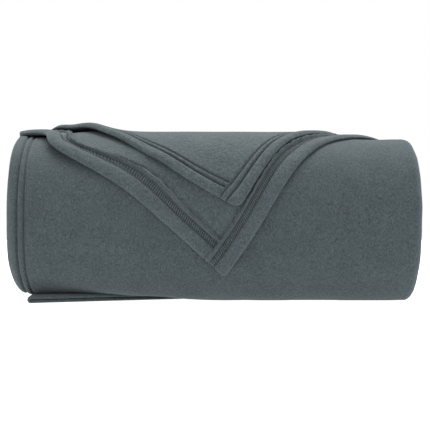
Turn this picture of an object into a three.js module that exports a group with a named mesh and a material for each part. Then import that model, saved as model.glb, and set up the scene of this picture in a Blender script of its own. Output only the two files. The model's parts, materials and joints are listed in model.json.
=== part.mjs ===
// A hemmed fleece throw, folded in four to a long strip and rolled up, with the corner of its two
// outer plies peeled back over the top so that it hangs down the front as two flaps.
//
// Millimetres, +Z up. The roll lies along X, its front faces -Y, and it rests on Z = 0.
//
// Two coordinates place every piece of cloth:
//   run   the distance along the strip, zero on the ridge, growing down the front of the roll and
//         falling over the back and under the roll,
//   lift  the height above the outer side of the face ply, negative for the plies under it.
import * as THREE from 'three';

// The roll
const FOLDED_WIDTH = 388;        // the folded strip across, which is the roll from end to end
const HALF_DEPTH = 78;           // from the middle of the roll to the front of its face ply
const HALF_HEIGHT = 75.5;        // from the middle of the roll to its top, a quarter turn before
const TOP_SQUARENESS = 2.5;      // 2 is a round section, and more is squarer
const BOTTOM_SQUARENESS = 3.2;
const PRESSED_FLAT = 1.5;        // how far the roll's own weight flattens its underside
const CORE_HOLE = 7;             // radius left open in the middle of the roll

// The cloth
const PLY = 3.6;                 // fleece with its pile, lying loose
const GAP = 0.4;                 // between plies that lie on each other
const HEM_EDGE = 13;             // the hem's edge to its first row of stitches
const NEEDLE_GAUGE = 6.35;       // between the two rows of stitches
const THREAD = 1.1;              // the width that a row of stitches takes in the cloth

// The corner peeled back over the top
const PEEL_START = 14;           // from the ridge back to the fold, at the left end
const PEEL_SLANT = 20;           // degrees between the fold and the roll's axis
const UPPER_PEEL_START = 45;
const UPPER_PEEL_SLANT = 20.5;
const LOWER_FLAP = {
  left: 12, tip: 201, drop: 182, right: 343, leftBow: 24, leftSkew: 5, rightBow: 14, rightSkew: 2,
};
const UPPER_FLAP = {
  left: 45, tip: 216, drop: 117, right: 299, leftBow: 24, leftSkew: 1, rightBow: 2, rightSkew: 2,
};

// The end of the two inner plies, which shows under the roll at the left
const TAIL_REACH = 75;           // from the middle of the roll forward to the tail's tip
const TAIL_SLOPE = 0.3;          // how fast the tail's edge falls back towards the right
const TAIL_INSET = 10;           // the left fold of these plies stands back from the roll's end
const TAIL_HEM = 20;

const ANGLE_STEP = 7.5;          // one facet of the roll's section, in degrees
const DROP_STEP = 8;             // one facet where the cloth hangs or lies straight
const OUTER_START = -105;        // the angle under the roll where the plies are told apart
const SHORTEST = 1.5;            // where two edges meet, a piece stops this wide

const LAYER = PLY + GAP;
const PLIES = 4;
const TURN_PITCH = PLIES * LAYER;
const MEAN_RADIUS = (HALF_DEPTH + HALF_HEIGHT) / 2;
const LEFT = -FOLDED_WIDTH / 2;
const RIGHT = FOLDED_WIDTH / 2;

// Folds between neighbouring plies are tight, and the next ply wraps round them.
const TIGHT_FOLD = { inner: GAP / 2, outer: GAP / 2 + PLY };
const WIDE_FOLD = { inner: TIGHT_FOLD.outer + GAP, outer: TIGHT_FOLD.outer + LAYER };
const RIGHT_FOLD_X = RIGHT - WIDE_FOLD.outer;
const LEFT_FOLD_X = LEFT + TAIL_INSET + TIGHT_FOLD.outer;

const CENTRE_HEIGHT = HALF_HEIGHT * (1 + LAYER / MEAN_RADIUS) - PRESSED_FLAT;

const radians = THREE.MathUtils.degToRad;
const mix = THREE.MathUtils.lerp;
const clamp = THREE.MathUtils.clamp;

// ---------------------------------------------------------------------------------------------
// The path of the cloth round the roll

// The roll's section in Y and Z: 0 degrees is its front, 90 its top and 180 its back.
function section(angle) {
  const across = Math.cos(radians(angle));
  const up = Math.sin(radians(angle));
  const power = 2 / (up > 0 ? TOP_SQUARENESS : BOTTOM_SQUARENESS);
  return [
    -HALF_DEPTH * Math.sign(across) * Math.abs(across) ** power,
    HALF_HEIGHT * Math.sign(up) * Math.abs(up) ** power,
  ];
}

// A point of the rolled strip. The underside of each turn is pressed flat on the one below it.
function rolled(angle, lift) {
  const [y, z] = section(angle);
  const grow = 1 + (TURN_PITCH * angle / 360 + lift) / MEAN_RADIUS;
  const turnsIn = Math.round((270 - angle) / 360);
  const pressed = (TURN_PITCH * turnsIn - 2 * LAYER - lift) * HALF_HEIGHT / MEAN_RADIUS;
  return [y * grow, Math.max(CENTRE_HEIGHT + z * grow, pressed)];
}

function curvedStations(fromAngle, toAngle) {
  const stations = [];
  for (let angle = fromAngle; angle <= toAngle; angle += ANGLE_STEP) {
    stations.push({ angle, at: (lift) => rolled(angle, lift) });
  }
  return stations;
}

// Cloth that leaves the roll in a straight line: down the front, or forward along the ground.
function straightStations(angle, [stepY, stepZ], length) {
  const count = Math.ceil(length / DROP_STEP);
  return Array.from({ length: count }, (_, index) => {
    const along = length * (index + 1) / count;
    return {
      at: (lift) => {
        const [y, z] = rolled(angle, lift);
        return [y + stepY * along, z + stepZ * along];
      },
    };
  });
}

// Gives each station its run, which is zero on the ridge and falls towards the strip's end.
function measured(stations) {
  const runs = [0];
  for (let i = 1; i < stations.length; i += 1) {
    const [y0, z0] = stations[i - 1].at(0);
    const [y1, z1] = stations[i].at(0);
    runs.push(runs[i - 1] - Math.hypot(y1 - y0, z1 - z0));
  }
  const ridge = runs[stations.findIndex((station) => station.angle === 90)];
  return stations.map((station, i) => ({ ...station, run: runs[i] - ridge }));
}

// The strip winds inwards until its inmost ply reaches the open core.
const woundTurns = (MEAN_RADIUS - CORE_HOLE) / TURN_PITCH - 1;
const innerEnd = OUTER_START
  - ANGLE_STEP * Math.floor((OUTER_START + 360 * woundTurns) / ANGLE_STEP);
const WRAP = measured([
  ...curvedStations(innerEnd, 270),
  ...straightStations(270, [-1, 0], TAIL_REACH),
]);
const FLAP = measured([
  ...straightStations(0, [0, -1], HALF_HEIGHT).reverse(),
  ...curvedStations(0, 270),
]);

function runAt(path, angle) {
  const after = path.findIndex((station) => station.angle >= angle);
  const before = Math.max(0, after - 1);
  const step = path[after].angle - path[before].angle;
  const part = step > 0 ? (angle - path[before].angle) / step : 0;
  return mix(path[before].run, path[after].run, part);
}

// The Y and Z of a run and a lift, on the straight facet between two stations.
function placed(path, run, lift) {
  const after = Math.max(1, path.findIndex((station) => station.run <= run));
  const before = after - 1;
  const part = (path[before].run - run) / (path[before].run - path[after].run);
  const [y0, z0] = path[before].at(lift);
  const [y1, z1] = path[after].at(lift);
  return [mix(y0, y1, part), mix(z0, z1, part)];
}

// ---------------------------------------------------------------------------------------------
// Solids

const group = new THREE.Group();

// A closed solid that follows the path from one run to another. outline(run) gives its section
// there as points of X and lift, always the same number of them.
function addCloth(name, colour, path, fromRun, toRun, outline, breaks = []) {
  const inside = [...path.map((station) => station.run), ...breaks]
    .filter((run) => run < fromRun - GAP && run > toRun + GAP);
  const runs = [fromRun, ...inside.sort((a, b) => b - a), toRun]
    .filter((run, i, all) => i === 0 || all[i - 1] - run > GAP / 2);
  const rings = runs.map((run) => outline(run));
  const size = rings[0].length;
  const positions = rings.flatMap((ring, i) => ring.flatMap(([x, lift]) => [
    x, ...placed(path, runs[i], lift),
  ]));
  const triangles = [];
  for (let i = 0; i + 1 < rings.length; i += 1) {
    for (let j = 0; j < size; j += 1) {
      const [a, b] = [i * size + j, i * size + (j + 1) % size];
      triangles.push([a, b, b + size], [a, b + size, a + size]);
    }
  }
  const cap = (ring) => THREE.ShapeUtils.triangulateShape(
    ring.map(([x, lift]) => new THREE.Vector2(x, lift)), []);
  const last = (rings.length - 1) * size;
  const turning = Math.sign(THREE.ShapeUtils.area(
    rings[0].map(([x, lift]) => new THREE.Vector2(x, lift))));
  const facing = ([a, b, c]) => (turning > 0 ? [a, c, b] : [a, b, c]);
  const sides = triangles.map((t) => facing(t));
  const ends = [
    ...cap(rings[0]).map(([a, b, c]) => [a, b, c]),
    ...cap(rings[rings.length - 1]).map(([a, b, c]) => [last + a, last + c, last + b]),
  ];
  addMesh(name, colour, positions, [...sides, ...ends]);
}

function addMesh(name, colour, positions, triangles) {
  const geometry = new THREE.BufferGeometry();
  geometry.setAttribute('position', new THREE.Float32BufferAttribute(positions, 3));
  geometry.setIndex(triangles.flat());
  geometry.computeVertexNormals();
  const material = new THREE.MeshStandardMaterial({ color: colour, roughness: 0.95, metalness: 0 });
  const mesh = new THREE.Mesh(geometry, material);
  mesh.name = name;
  group.add(mesh);
}

const flat = (x0, x1, top, thickness = PLY) => [
  [x0, top - thickness], [x1, top - thickness], [x1, top], [x0, top],
];

// A band whose edge on one side (-1 left, 1 right) is the round of the turned hem.
function hemmed(x0, x1, top, side) {
  const edge = side < 0 ? x0 : x1;
  const other = side < 0 ? x1 : x0;
  const round = Math.min(PLY / 2, Math.abs(x1 - x0) / 2);
  const arc = [-90, -45, 0, 45, 90].map((turn) => [
    edge + side * round * (Math.cos(radians(turn)) - 1),
    top - PLY / 2 + PLY / 2 * Math.sin(radians(turn)),
  ]);
  return [[other, top - PLY], ...arc, [other, top]];
}

// Half a ring of cloth that joins two plies, with its open side towards -side.
function halfRing(x, middle, fold, side, stretch = 1) {
  const arc = (radius, turns) => turns.map((turn) => [
    x + side * stretch * radius * Math.cos(radians(turn)),
    middle + radius * Math.sin(radians(turn)),
  ]);
  const turns = [-90, -50, 0, 50, 90];
  return [...arc(fold.outer, turns), ...arc(fold.inner, [...turns].reverse())];
}

// ---------------------------------------------------------------------------------------------
// The rolled strip

const FACE_GREY = 0x4c5658;
const REVERSE_GREY = 0x586367;
const HEM_GREY = 0x50595c;
const INNER_GREY = 0x434c4e;
const THREAD_GREY = 0x3a4244;

const HEM_LINES = {
  row1: HEM_EDGE,
  channel: HEM_EDGE + THREAD + GAP,
  row2: HEM_EDGE + NEEDLE_GAUGE,
  cloth: HEM_EDGE + NEEDLE_GAUGE + THREAD + GAP,
};
const ROW_DEPTH = PLY - 2 * GAP;

const startRun = runAt(WRAP, OUTER_START) - GAP / 2;
const peelX = (start, slant) => (run) => LEFT + (-run - start) / Math.tan(radians(slant));
const peelRun = (start, slant, x) => -(start + (x - LEFT) * Math.tan(radians(slant)));
const facePeel = peelX(PEEL_START, PEEL_SLANT);
const secondPeel = peelX(UPPER_PEEL_START, UPPER_PEEL_SLANT);
const PEEL_GAP = GAP / Math.sin(radians(PEEL_SLANT));
const facePeelEnd = peelRun(PEEL_START, PEEL_SLANT, RIGHT_FOLD_X);
const secondPeelEnd = peelRun(UPPER_PEEL_START, UPPER_PEEL_SLANT, RIGHT_FOLD_X);

// Four plies wound together, in three stretches of about a turn each.
function addInnerTurns() {
  const names = ['third_turn', 'second_turn', 'core_turn'];
  const stretch = (OUTER_START - innerEnd) / names.length;
  const ends = [LEFT + HEM_EDGE / 2, RIGHT - HEM_EDGE / 2];
  names.forEach((name, i) => {
    const outer = OUTER_START - stretch * i;
    addCloth(name, INNER_GREY, WRAP, runAt(WRAP, outer - stretch) - GAP / 2,
      runAt(WRAP, outer) + GAP / 2, () => flat(...ends, 0, TURN_PITCH - GAP));
  });
}

// The face ply is the outer one. Its left edge is a hem with two rows of stitches.
function addFacePly() {
  const clothLeft = (run) => Math.max(LEFT + HEM_LINES.cloth, facePeel(run) + PEEL_GAP);
  const hemEnd = -PEEL_START + GAP;
  const rowTop = -GAP;
  addCloth('face_ply', FACE_GREY, WRAP, startRun, facePeelEnd + SHORTEST,
    (run) => flat(clothLeft(run), RIGHT_FOLD_X - GAP, 0),
    [peelRun(PEEL_START, PEEL_SLANT, LEFT + HEM_LINES.cloth)]);
  addCloth('face_hem_edge', HEM_GREY, WRAP, startRun, hemEnd,
    () => hemmed(LEFT, LEFT + HEM_LINES.row1 - GAP, 0, -1));
  addCloth('face_hem_channel', HEM_GREY, WRAP, startRun, hemEnd,
    () => flat(LEFT + HEM_LINES.channel, LEFT + HEM_LINES.row2 - GAP, 0));
  [HEM_LINES.row1, HEM_LINES.row2].forEach((line, i) => {
    addCloth(`face_stitch_row_${i + 1}`, THREAD_GREY, WRAP, startRun, hemEnd,
      () => flat(LEFT + line, LEFT + line + THREAD, rowTop, ROW_DEPTH));
  });
}

function addSecondPly() {
  const clothLeft = (run) => Math.max(LEFT + HEM_LINES.cloth, secondPeel(run) + PEEL_GAP);
  addCloth('second_ply', INNER_GREY, WRAP, startRun, secondPeelEnd + SHORTEST,
    (run) => flat(clothLeft(run), RIGHT_FOLD_X - GAP, -LAYER),
    [peelRun(UPPER_PEEL_START, UPPER_PEEL_SLANT, LEFT + HEM_LINES.cloth)]);
  addCloth('second_ply_hem', HEM_GREY, WRAP, startRun, -UPPER_PEEL_START + GAP,
    () => hemmed(LEFT + GAP, LEFT + HEM_LINES.cloth - GAP, -LAYER, -1));
}

// The third and fourth plies run on round the back and under the roll to the tail.
const tailTip = WRAP[WRAP.length - 1].run;
const tailLeft = LEFT_FOLD_X + GAP;
const tailRight = (run) => tailLeft + (run - tailTip) / TAIL_SLOPE;
const tailRunAt = (x) => tailTip + (x - tailLeft) * TAIL_SLOPE;
const tailAcross = (distance) => distance * Math.hypot(1, TAIL_SLOPE) / TAIL_SLOPE;
const tailHemAcross = tailAcross(TAIL_HEM);
const tailClothAcross = tailAcross(TAIL_HEM + 2 * GAP);

function addWrappedPly(name, hemName, index) {
  const top = -index * LAYER;
  const right = RIGHT_FOLD_X - GAP;
  const hemInner = (run) => tailRight(run) - tailHemAcross;
  const clothRight = (run) => Math.min(right, tailRight(run) - tailClothAcross);
  addCloth(name, INNER_GREY, WRAP, startRun, tailRunAt(tailLeft + tailClothAcross) + SHORTEST,
    (run) => flat(tailLeft, clothRight(run), top), [tailRunAt(right + tailClothAcross)]);
  addCloth(hemName, HEM_GREY, WRAP, tailRunAt(right + tailHemAcross) - SHORTEST, tailTip + SHORTEST,
    (run) => flat(Math.max(tailLeft, hemInner(run)), Math.min(right, tailRight(run)), top),
    [tailRunAt(right), tailRunAt(tailLeft + tailHemAcross)]);
}

function addEndFolds() {
  const betweenAll = -(3 * LAYER + PLY) / 2;
  const betweenInner = -(5 * LAYER + PLY) / 2;
  addCloth('right_outer_fold', FACE_GREY, WRAP, startRun, facePeelEnd,
    () => halfRing(RIGHT_FOLD_X, betweenAll, WIDE_FOLD, 1));
  addCloth('right_inner_fold', INNER_GREY, WRAP, startRun, facePeelEnd,
    () => halfRing(RIGHT_FOLD_X, betweenAll, TIGHT_FOLD, 1));
  addCloth('left_fold', INNER_GREY, WRAP, startRun, tailTip + SHORTEST,
    () => halfRing(LEFT_FOLD_X, betweenInner, TIGHT_FOLD, -1));
}

// ---------------------------------------------------------------------------------------------
// The peeled corner: two folds on the back, and a rear part and a hanging flap of each ply

// How far an edge of a hanging flap bows to the left of straight. It is 0 at the ridge and at the
// tip, and a larger skew brings the fullest place nearer the ridge.
function bow(share, depth, skew) {
  const along = clamp(share, 0, 1);
  const fullest = 2 / (skew + 2);
  const most = fullest ** 2 * (1 - fullest) ** skew;
  return depth * along ** 2 * (1 - along) ** skew / most;
}

function flapEdges(size) {
  const tip = LEFT + size.tip;
  const edge = (start, depth, skew) => (run) => mix(LEFT + start, tip, run / size.drop)
    - bow(run / size.drop, depth, skew);
  return {
    size,
    left: edge(size.left, size.leftBow, size.leftSkew),
    right: edge(size.right, size.rightBow, size.rightSkew),
  };
}

// How much wider a band is across the roll than square to its slanting edge.
function lean(edge, run) {
  return Math.hypot(GAP, edge(run + GAP) - edge(run)) / GAP;
}

const lowerFlap = flapEdges(LOWER_FLAP);
const upperFlap = flapEdges(UPPER_FLAP);
const LOWER_TOP = LAYER;
const UPPER_TOP = 2 * LAYER;

// The last run, on the way from an open one to a closed one, at which edge b is a width past a.
function lastApart(a, b, width, open, closed) {
  if (b(closed) - a(closed) > width) {
    return closed;
  }
  while (Math.abs(closed - open) > GAP / 100) {
    const run = (open + closed) / 2;
    if (b(run) - a(run) > width) {
      open = run;
    } else {
      closed = run;
    }
  }
  return open;
}

// A fold line ends at the roll's right end, or where the flap's end hem meets it before that.
const lowerFoldEnd = lastApart(facePeel, lowerFlap.right, SHORTEST, 0, facePeelEnd);
const upperFoldEnd = lastApart(secondPeel, upperFlap.right, SHORTEST, 0, secondPeelEnd);

function addBackFold(name, colour, fold, peel, slant, endRun) {
  const stretch = 1 / Math.sin(radians(slant));
  const startX = LEFT + fold.outer * stretch;
  let fromRun = 0;
  while (peel(fromRun) < startX) {
    fromRun -= SHORTEST;
  }
  addCloth(name, colour, WRAP, fromRun, endRun,
    (run) => halfRing(peel(run), GAP / 2, fold, -1, stretch));
}

function addRear(name, colour, flap, peel, top, endRun, start) {
  const left = (run) => Math.max(flap.left(run), peel(run) + PEEL_GAP, LEFT + GAP);
  const right = (run) => Math.min(flap.right(run), RIGHT_FOLD_X);
  const turnRight = flap.size.drop * (LEFT + flap.size.right - RIGHT_FOLD_X)
    / (flap.size.right - flap.size.tip);
  addCloth(name, colour, WRAP, -GAP / 2, endRun + SHORTEST,
    (run) => flat(left(run), right(run), top), [turnRight, -start]);
}

// One flap as it hangs: the cloth, and a hem with two rows of stitches along each free edge. The
// end hem runs out to the tip and the side hem stops against it.
function addFlap(name, colour, flap, top) {
  const fromRun = flap.size.drop;
  const side = (distance) => (run) => flap.left(run) + distance * lean(flap.left, run);
  const end = (distance) => (run) => flap.right(run) - distance * lean(flap.right, run);
  // The run at which two edges have come as close as SHORTEST.
  const meeting = (a, b) => lastApart(a, b, SHORTEST, 0, fromRun);
  const band = (part, tint, x0, x1, shape) => addCloth(
    `${name}_${part}`, tint, FLAP, meeting(x0, x1), GAP / 2, (run) => shape(x0(run), x1(run)));
  const plain = (x0, x1) => flat(x0, x1, top);
  const row = (x0, x1) => flat(x0, x1, top - GAP, ROW_DEPTH);
  const endBand = (part, tint, inner, outer, shape) => {
    const x0 = (run) => Math.max(flap.left(run), end(inner)(run));
    const x1 = end(outer);
    const corner = meeting((run) => flap.left(run) - SHORTEST, end(inner));
    addCloth(`${name}_${part}`, tint, FLAP, meeting(flap.left, x1), GAP / 2,
      (run) => shape(x0(run), x1(run)), [corner]);
  };
  const clothEnd = end(HEM_LINES.cloth);
  band('cloth', colour, side(HEM_LINES.cloth), clothEnd, plain);

  // The side hem's bands stop where the end hem begins.
  const sideBand = (part, tint, outer, inner, shape) => {
    const x1 = (run) => Math.min(side(inner)(run), clothEnd(run));
    addCloth(`${name}_${part}`, tint, FLAP, meeting(side(outer), clothEnd), GAP / 2,
      (run) => shape(side(outer)(run), x1(run)), [meeting(
        (run) => side(inner)(run) - SHORTEST, clothEnd)]);
  };
  sideBand('side_hem_edge', HEM_GREY, 0, HEM_LINES.row1 - GAP, (a, b) => hemmed(a, b, top, -1));
  sideBand('side_stitch_row_1', THREAD_GREY, HEM_LINES.row1, HEM_LINES.row1 + THREAD, row);
  sideBand('side_hem_channel', HEM_GREY, HEM_LINES.channel, HEM_LINES.row2 - GAP, plain);
  sideBand('side_stitch_row_2', THREAD_GREY, HEM_LINES.row2, HEM_LINES.row2 + THREAD, row);
  endBand('end_hem_edge', HEM_GREY, HEM_LINES.row1 - GAP, 0, (a, b) => hemmed(a, b, top, 1));
  endBand('end_stitch_row_1', THREAD_GREY, HEM_LINES.row1 + THREAD, HEM_LINES.row1, row);
  endBand('end_hem_channel', HEM_GREY, HEM_LINES.row2 - GAP, HEM_LINES.channel, plain);
  endBand('end_stitch_row_2', THREAD_GREY, HEM_LINES.row2 + THREAD, HEM_LINES.row2, row);
}

addInnerTurns();
addFacePly();
addSecondPly();
addWrappedPly('third_ply', 'tail_bottom_hem', 2);
addWrappedPly('fourth_ply', 'tail_top_hem', 3);
addEndFolds();
addBackFold('lower_flap_back_fold', REVERSE_GREY, TIGHT_FOLD, facePeel, PEEL_SLANT,
  lowerFoldEnd);
addBackFold('upper_flap_back_fold', FACE_GREY, WIDE_FOLD, secondPeel, UPPER_PEEL_SLANT,
  upperFoldEnd);
addRear('lower_flap_rear', REVERSE_GREY, lowerFlap, facePeel, LOWER_TOP, lowerFoldEnd,
  PEEL_START);
addRear('upper_flap_rear', FACE_GREY, upperFlap, secondPeel, UPPER_TOP, upperFoldEnd,
  UPPER_PEEL_START);
addFlap('lower_flap', REVERSE_GREY, lowerFlap, LOWER_TOP);
addFlap('upper_flap', FACE_GREY, upperFlap, UPPER_TOP);

// The origin is the middle of the bounding box, on the ground.
const box = new THREE.Box3().setFromObject(group);
group.position.set(0, -(box.min.y + box.max.y) / 2, 0);

export default group;
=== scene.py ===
import json
import math

import bmesh
import bpy
import numpy as np
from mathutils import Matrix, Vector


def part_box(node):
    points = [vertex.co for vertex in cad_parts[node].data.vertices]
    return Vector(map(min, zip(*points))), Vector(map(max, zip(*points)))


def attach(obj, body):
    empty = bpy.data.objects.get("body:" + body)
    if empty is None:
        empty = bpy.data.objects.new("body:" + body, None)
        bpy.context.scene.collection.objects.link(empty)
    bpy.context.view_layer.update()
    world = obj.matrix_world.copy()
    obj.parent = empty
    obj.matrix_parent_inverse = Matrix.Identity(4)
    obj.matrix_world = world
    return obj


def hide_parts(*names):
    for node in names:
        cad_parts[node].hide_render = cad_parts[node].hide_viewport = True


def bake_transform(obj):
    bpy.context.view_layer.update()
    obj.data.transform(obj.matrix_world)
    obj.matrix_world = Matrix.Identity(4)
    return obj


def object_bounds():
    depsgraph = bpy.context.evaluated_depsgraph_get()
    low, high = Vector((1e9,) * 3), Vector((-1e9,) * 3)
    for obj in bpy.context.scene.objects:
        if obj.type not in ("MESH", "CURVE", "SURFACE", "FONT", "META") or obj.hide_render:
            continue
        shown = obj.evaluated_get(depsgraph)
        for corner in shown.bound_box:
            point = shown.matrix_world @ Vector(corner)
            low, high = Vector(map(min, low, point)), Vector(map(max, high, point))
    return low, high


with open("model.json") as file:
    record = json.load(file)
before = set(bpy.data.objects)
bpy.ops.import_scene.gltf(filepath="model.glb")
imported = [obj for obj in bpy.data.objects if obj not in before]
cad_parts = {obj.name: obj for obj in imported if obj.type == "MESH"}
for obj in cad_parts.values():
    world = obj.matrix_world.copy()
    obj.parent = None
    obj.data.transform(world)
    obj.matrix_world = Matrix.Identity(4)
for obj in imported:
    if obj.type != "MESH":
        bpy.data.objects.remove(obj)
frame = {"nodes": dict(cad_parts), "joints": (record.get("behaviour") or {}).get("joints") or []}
cad_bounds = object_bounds()

# ------------------------------------------------------------------------------------------
# Sizes, in metres. The places come from the frame, and the cloth's own sizes are the CAD's,
# except that the outer peel starts nearer the ridge and the flaps' edges are a little different.

PLY = 0.0036
GAP = 0.0004
LAYER = PLY + GAP
TURN_PITCH = 4 * LAYER
HEM_EDGE = 0.013
NEEDLE_GAUGE = 0.00635
HEM_DEPTH = 0.0215
TOP_SQUARENESS = 2.5
BOTTOM_SQUARENESS = 3.2
PRESSED_FLAT = 0.0015
PEEL_START = 0.007
PEEL_SLANT = math.radians(20)
UPPER_PEEL_START = 0.045
UPPER_PEEL_SLANT = math.radians(20.5)
TIGHT_RADIUS = GAP / 2 + PLY / 2
WIDE_RADIUS = TIGHT_RADIUS + LAYER

RIDGE_Y, RIDGE_Z = frame["joints"][0]["pos_m"][1:]
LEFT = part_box("face_hem_edge")[0].x
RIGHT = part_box("right_outer_fold")[1].x
HALF_LENGTH = (RIGHT - LEFT) / 2
RIGHT_FOLD_X = RIGHT - WIDE_RADIUS - PLY / 2
LEFT_FOLD_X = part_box("left_fold")[0].x + TIGHT_RADIUS + PLY / 2
HALF_DEPTH = RIDGE_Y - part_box("face_ply")[0].y
FACE_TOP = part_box("face_ply")[1].z
HALF_HEIGHT = FACE_TOP / 2
# The section's half height and its mean radius depend on each other, and settle in a few rounds.
for _ in range(4):
    MEAN_RADIUS = (HALF_DEPTH + HALF_HEIGHT) / 2
    HALF_HEIGHT = (FACE_TOP + PRESSED_FLAT) / 2 / (1 + LAYER / MEAN_RADIUS)
CENTRE_HEIGHT = FACE_TOP - HALF_HEIGHT * (1 + LAYER / MEAN_RADIUS)
OUTER_START = -105.0
TAIL_TIP_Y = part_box("left_fold")[0].y
TAIL_SLOPE = 0.3

FINE = 0.0025                    # a cell of visible cloth
COARSE = 0.006                   # a cell of hidden cloth

# Each flap's edges are given by where they cross the ridge, where they meet at the tip, and how
# far each bows to the left of straight, with two powers that set where it is fullest: their
# shares of their sum, counted from the ridge.
FLAPS = {
    "lower": {"left": LEFT + 0.002, "tip": LEFT + 0.203, "drop": 0.182, "right": LEFT + 0.338,
              "left_bow": (0.024, 6, 13), "right_bow": (0.009, 2, 3), "corner": 0.005, "hem": 1.05},
    "upper": {"left": LEFT + 0.045, "tip": LEFT + 0.217, "drop": 0.117, "right": LEFT + 0.299,
              "left_bow": (0.013, 2, 1), "right_bow": (0.002, 2, 2), "corner": 0.006, "hem": 0.80},
}


def smooth(value, low, high):
    """0 up to low, 1 from high on, and an S curve between them."""
    part = np.clip((np.asarray(value, float) - low) / (high - low), 0, 1)
    return part * part * (3 - 2 * part)


def bump(value, middle, width):
    """A round hill, 1 high at its middle."""
    return np.exp(-((np.asarray(value, float) - middle) / width) ** 2)


def ripple(a, b, size, seed):
    """Soft irregular waves between about -1 and 1, of about the given size."""
    draw = np.random.default_rng(seed)
    total = np.zeros_like(a, dtype=float)
    for _ in range(7):
        heading = draw.uniform(0, 2 * math.pi)
        pitch = 2 * math.pi / (size * draw.uniform(0.7, 1.8))
        along = a * math.cos(heading) + b * math.sin(heading)
        total += np.sin(along * pitch + draw.uniform(0, 2 * math.pi))
    return total / 4


# ------------------------------------------------------------------------------------------
# The path of the cloth round the roll


def section(angle):
    """The roll's outline in Y and Z: 0 degrees is its front, 90 its top and 180 its back."""
    across = np.cos(np.radians(angle))
    up = np.sin(np.radians(angle))
    power = 2 / np.where(up > 0, TOP_SQUARENESS, BOTTOM_SQUARENESS)
    return (
        -HALF_DEPTH * np.sign(across) * np.abs(across) ** power,
        HALF_HEIGHT * np.sign(up) * np.abs(up) ** power,
    )


def rolled(angle, lift):
    """Y and Z of cloth at an angle, which falls by 360 for each turn inward, and at a height
    above the face ply. Z is from the ground and Y from the roll's middle."""
    y, z = section(angle)
    grow = 1 + (TURN_PITCH * angle / 360 + lift) / MEAN_RADIUS
    turns_in = np.floor((270 - angle) / 360 + 0.5)
    pressed = (TURN_PITCH * turns_in - 2 * LAYER - lift) * HALF_HEIGHT / MEAN_RADIUS
    return y * grow, np.maximum(CENTRE_HEIGHT + z * grow, pressed)


WOUND_TURNS = (MEAN_RADIUS - 0.007) / TURN_PITCH - 1
ANGLES = np.arange(-360 * WOUND_TURNS, 270.25, 0.5)
_ys, _zs = rolled(ANGLES, np.zeros_like(ANGLES))
_steps = np.hypot(np.diff(_ys), np.diff(_zs))
RUNS = -np.concatenate([[0], np.cumsum(_steps)])
RUNS -= np.interp(90, ANGLES, RUNS)


def run_at(angle):
    return float(np.interp(angle, ANGLES, RUNS))


def angle_at(run):
    return np.interp(-np.asarray(run, float), -RUNS, ANGLES)


FRONT_RUN = run_at(0)
UNDER_RUN = run_at(270)
TAIL_RUN = UNDER_RUN - (RIDGE_Y - TAIL_TIP_Y)

# How the soft roll departs from its plain section. Phases are degrees round it from the front.
SOFT_END = 0.020                 # how much of each end rounds off
END_DROP = 0.0022
DRAWN_IN_LEFT, DRAWN_IN_RIGHT = 0.0060, 0.0035
BULGE_LEFT, BULGE_RIGHT = 0.0020, 0.0034
BELLY, BELLY_PHASE, BELLY_WIDTH = 0.0028, -62, 20
SAG = 0.0072                     # where nothing lies under the roll
SAG_HEIGHT = 0.06                # only cloth lower than this sags
LOWEST = 0.0002
FOLD_HUMP = 0.0026               # the lower fold's spring at the left end of the ridge
ARCH, ARCH_X, ARCH_WIDTH = 0.0048, 0.076, 0.026


def place(x, run, lift, hangs=False):
    """The point of the roll at a place across it, a run along the strip and a height above the
    face ply. Cloth that hangs leaves the roll at its front and drops straight down."""
    x, run, lift = np.broadcast_arrays(*(np.asarray(v, float) for v in (x, run, lift)))
    inside = np.maximum(run, UNDER_RUN)
    if hangs:
        inside = np.minimum(inside, FRONT_RUN)
    angle = angle_at(inside)
    phase = (angle + 180) % 360 - 180
    # The ends are soft: they bulge at the front, draw in under the roll and round off at their
    # corners. The outer turn's belly fills the lower front.
    end = np.clip((np.abs(x) - HALF_LENGTH + SOFT_END) / SOFT_END, 0, 1.2)
    under = smooth(-phase, 15, 92) * (1 - smooth(-phase, 120, 175))
    drawn_in = np.where(x < 0, DRAWN_IN_LEFT, DRAWN_IN_RIGHT) * under
    bulge = np.where(x < 0, BULGE_LEFT, BULGE_RIGHT) * np.cos(np.radians(phase)) ** 2
    inward = (drawn_in - bulge) * (np.abs(x) / HALF_LENGTH) ** 3
    corner = END_DROP * end ** 2 * (1 - bump(phase, -90, 30)) * (1 - smooth(phase, 20, 55))
    belly = BELLY * bump(phase, BELLY_PHASE, BELLY_WIDTH) * smooth(angle, -120, -100)
    y, z = rolled(angle, lift - corner + belly + hump(x, run))
    y = y + RIDGE_Y
    # In front of the tail's end nothing lies under the roll, so it settles down to the ground.
    tail_end = TAIL_TIP_Y + np.maximum(x - LEFT_FOLD_X, 0) * TAIL_SLOPE
    unheld = smooth(tail_end - y, -0.004, 0.022) * (1 - smooth(angle, 175, 200))
    z = np.maximum(z - SAG * unheld * np.clip(1 - z / SAG_HEIGHT, 0, 1) ** 1.2, LOWEST)
    if hangs:
        z = z - np.maximum(run - FRONT_RUN, 0)
    y = y - np.maximum(UNDER_RUN - run, 0)
    return np.stack([x - np.sign(x) * inward, y, z], axis=-1)


def hump(x, run):
    """The corner's folds stand up springily over the ridge at the left."""
    along = smooth(run, -0.130, -0.060) * (1 - smooth(run, -0.004, 0.052))
    at_fold = FOLD_HUMP * (1 - smooth(x - LEFT, 0.036, 0.056)) * bump(run, -0.006, 0.024)
    return at_fold + ARCH * bump(x - LEFT, ARCH_X, ARCH_WIDTH) * along


def cloth_length(end, start, lift):
    """How long the cloth at a height above the face ply is between two runs."""
    runs = np.linspace(end, start, 900)
    steps = np.diff(place(np.zeros_like(runs), runs, np.full_like(runs, lift)), axis=0)
    return float(np.linalg.norm(steps, axis=1).sum())


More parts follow.
